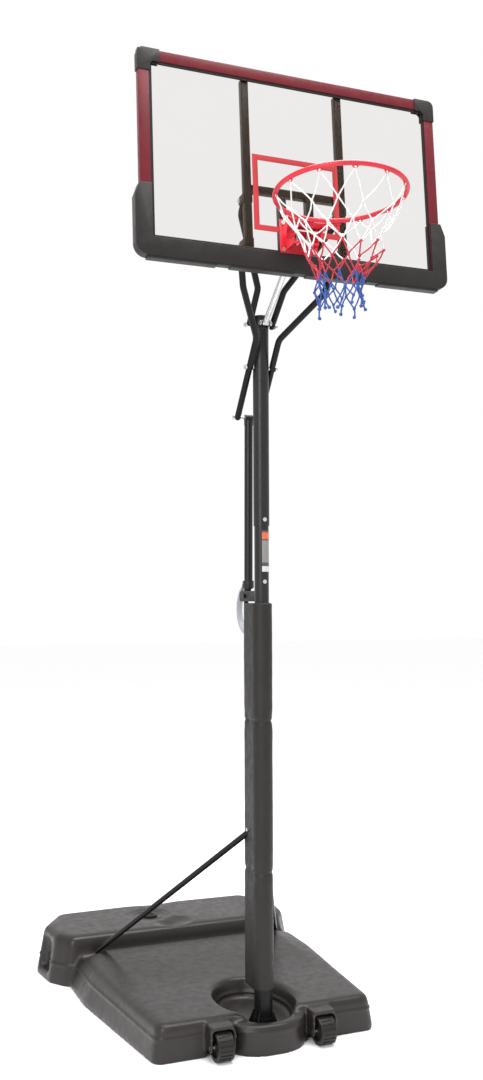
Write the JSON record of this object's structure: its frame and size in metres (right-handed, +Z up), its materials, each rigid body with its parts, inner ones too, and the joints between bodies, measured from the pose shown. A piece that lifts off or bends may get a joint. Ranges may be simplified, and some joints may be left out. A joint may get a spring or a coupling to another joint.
{
  "type": "portable basketball hoop",
  "caption": "Free-standing basketball hoop on a wheeled, fillable base, with a padded pole, a board that lowers on parallel arms, and a sprung rim.",
  "frame": {"origin": "on the floor, under the axis of the pole", "axes": "+Z up, -Y towards the player, +X to the player's right when facing the board"},
  "size_m": [1.2676, 2.2818, 3.6649],
  "materials": {
    "tank_plastic": "blow-moulded polyethylene, soft satin",
    "wheel_plastic": "moulded plastic, satin",
    "cap_plastic": "moulded plastic, satin",
    "black_steel": "powder coat, satin",
    "black_plastic": "moulded plastic, satin",
    "zinc": "zinc plated",
    "silver": "satin",
    "label": "vinyl sticker",
    "pad_vinyl": "soft vinyl skin over foam",
    "panel": "clear polycarbonate with a light warm tint",
    "rail_red": "powder coat, satin",
    "rim_red": "gloss powder coat",
    "paint_red": "screen-printed paint",
    "net_cord": "knotted nylon cord, white, red and blue",
    "handle_grey": "moulded plastic, satin"
  },
  "bodies": {
    "stand": {"tank": "tank_plastic", "wheel_axles": "zinc", "pole_foot": "black_steel", "foot_bolts": "zinc", "lower_pole": "black_steel", "middle_pole": "black_steel", "upper_pole": "black_steel", "pole_cap": "black_plastic", "pole_bolts": "zinc", "pivot_bolts": "zinc", "height_label": "label", "pole_pad": "pad_vinyl", "strut_collar": "black_steel", "left_strut": "black_steel", "right_strut": "black_steel", "strut_bolts": "zinc", "adjuster_bracket": "black_steel"},
    "left_wheel": {"left_wheel": "wheel_plastic"},
    "right_wheel": {"right_wheel": "wheel_plastic"},
    "filler": {"fill_cap": "cap_plastic"},
    "lower_arms": {"left_lower_arm": "black_steel", "right_lower_arm": "black_steel", "tail_bolt": "zinc"},
    "upper_arms": {"left_upper_arm": "black_steel", "right_upper_arm": "black_steel"},
    "backboard": {"board_panel": "panel", "top_rail": "rail_red", "bottom_rail": "rail_red", "left_rail": "rail_red", "right_rail": "rail_red", "left_corner_cap": "black_plastic", "right_corner_cap": "black_plastic", "bottom_pad": "black_plastic", "left_bar": "black_steel", "right_bar": "black_steel", "cross_bar": "black_steel", "lower_cross_bar": "black_steel", "left_post": "black_steel", "right_post": "black_steel", "pivot_plates": "black_steel", "board_bolts": "zinc", "shooter_square": "paint_red", "rim_mount": "rim_red", "mount_bolts": "zinc", "breakaway_springs": "zinc", "counter_bracket": "black_steel"},
    "rim": {"rim_ring": "rim_red", "rim_flange": "rim_red", "net_hooks": "rim_red", "hinge_pin": "zinc", "spring_bolts": "zinc", "net": "net_cord"},
    "lift_tube": {"adjuster_tube": "black_steel", "adjuster_handle": "handle_grey"},
    "lift_rod": {"adjuster_rod": "black_steel"},
    "trigger": {"trigger_lever": "black_plastic"},
    "counter_sleeve": {"counter_tube": "silver"},
    "counter_slider": {"counter_rod": "black_steel"}
  },
  "joints": [
    {"name": "left_wheel_spin", "type": "hinge", "parent": "stand", "child": "left_wheel", "pos_m": [-0.208, -0.098, 0.052], "axis": [1, 0, 0], "continuous": true},
    {"name": "right_wheel_spin", "type": "hinge", "parent": "stand", "child": "right_wheel", "pos_m": [0.208, -0.098, 0.052], "axis": [1, 0, 0], "continuous": true},
    {"name": "filler_turn", "type": "hinge", "parent": "stand", "child": "filler", "pos_m": [-0.105, 1.13, 0.205], "axis": [0, 0, 1], "range_deg": [0, 180]},
    {"name": "height", "type": "hinge", "parent": "stand", "child": "lower_arms", "pos_m": [0, 0, 2.615], "axis": [1, 0, 0], "range_deg": [0, 76]},
    {"name": "upper_arm_turn", "type": "hinge", "parent": "stand", "child": "upper_arms", "pos_m": [0, 0, 2.785], "axis": [1, 0, 0], "range_deg": [-1, 77]},
    {"name": "board_level", "type": "hinge", "parent": "lower_arms", "child": "backboard", "pos_m": [0, -0.3, 2.99], "axis": [1, 0, 0], "range_deg": [-77, 1]},
    {"name": "rim_breakaway", "type": "hinge", "parent": "backboard", "child": "rim", "pos_m": [0, -0.43262, 3.03184], "axis": [1, 0, 0], "range_deg": [0, 20], "stiffness_Nm_per_rad": 150, "springref_deg": -20.05, "deforming": ["breakaway_springs"]},
    {"name": "lift_tilt", "type": "hinge", "parent": "lower_arms", "child": "lift_tube", "pos_m": [0, 0.128, 2.435], "axis": [1, 0, 0], "range_deg": [-84, 1]},
    {"name": "lift_slide", "type": "slide", "parent": "lift_tube", "child": "lift_rod", "axis": [0, 0.0124, -0.9999], "range_m": [-0.001, 0.266]},
    {"name": "trigger_squeeze", "type": "hinge", "parent": "lift_tube", "child": "trigger", "pos_m": [0, 0.161, 1.735], "axis": [1, 0, 0], "range_deg": [0, 10], "stiffness_Nm_per_rad": 1, "springref_deg": -8.59},
    {"name": "counter_tilt", "type": "hinge", "parent": "stand", "child": "counter_sleeve", "pos_m": [0, -0.048, 2.785], "axis": [1, 0, 0], "range_deg": [-1, 88]},
    {"name": "counter_slide", "type": "slide", "parent": "counter_sleeve", "child": "counter_slider", "axis": [0, -0.7757, 0.6311], "range_m": [-0.001, 0.216]}
  ],
  "couplings": [
    {"joint": "upper_arm_turn", "follows": "height", "ratio": 1},
    {"joint": "board_level", "follows": "height", "ratio": -1},
    {"joint": "lift_tilt", "follows": "height", "ratio": -1.0829},
    {"joint": "lift_slide", "follows": "height", "m_per_rad": 0.19827},
    {"joint": "counter_tilt", "follows": "height", "ratio": 1.13},
    {"joint": "counter_slide", "follows": "height", "m_per_rad": 0.15975}
  ]
}
